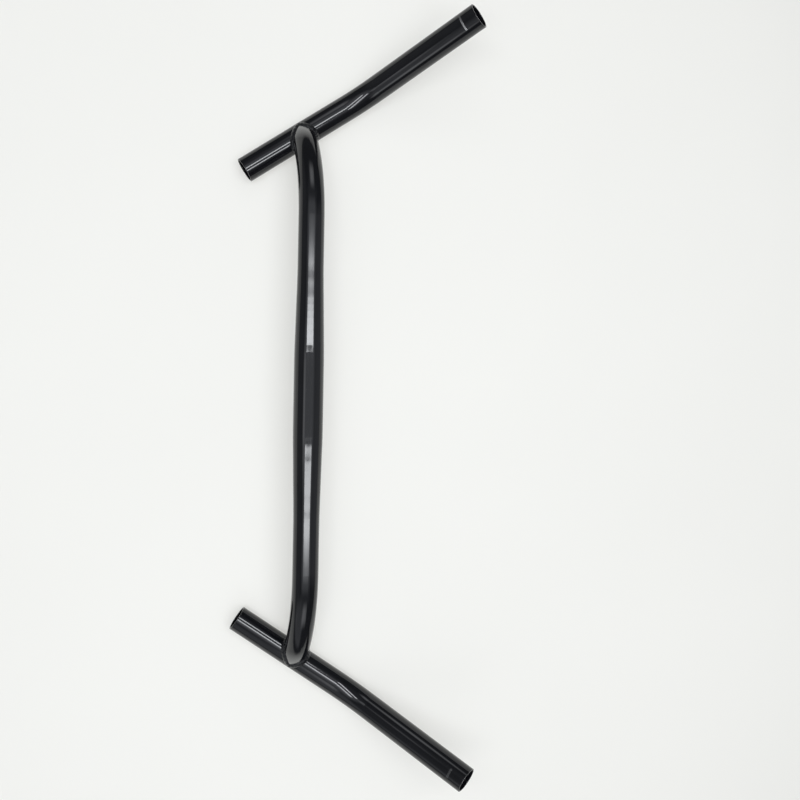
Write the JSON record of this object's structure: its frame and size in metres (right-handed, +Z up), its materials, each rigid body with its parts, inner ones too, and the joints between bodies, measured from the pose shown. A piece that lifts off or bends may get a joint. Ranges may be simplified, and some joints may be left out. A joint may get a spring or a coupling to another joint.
{
  "type": "swept-back handlebar",
  "caption": "Welded steel bicycle handlebar: a low curved centre tube with a swaged clamp section, joined to two toed tubes with forward stubs and swept-back grips.",
  "frame": {"origin": "centre of the stem clamp section, on the axis of the centre tube", "axes": "+X along the clamp section to the rider's right, +Y forward as the bar lies, +Z up from the surface that it lies on"},
  "size_m": [0.6634, 0.2065, 0.0864],
  "materials": {
    "paint": "gloss black paint with a faint orange peel, over steel tube",
    "weld_paint": "the same gloss black paint over a rippled weld bead"
  },
  "bodies": {
    "root": {"centre_tube": "paint", "left_grip_tube": "paint", "right_grip_tube": "paint", "left_weld_bead": "weld_paint", "right_weld_bead": "weld_paint"}
  },
  "joints": []
}
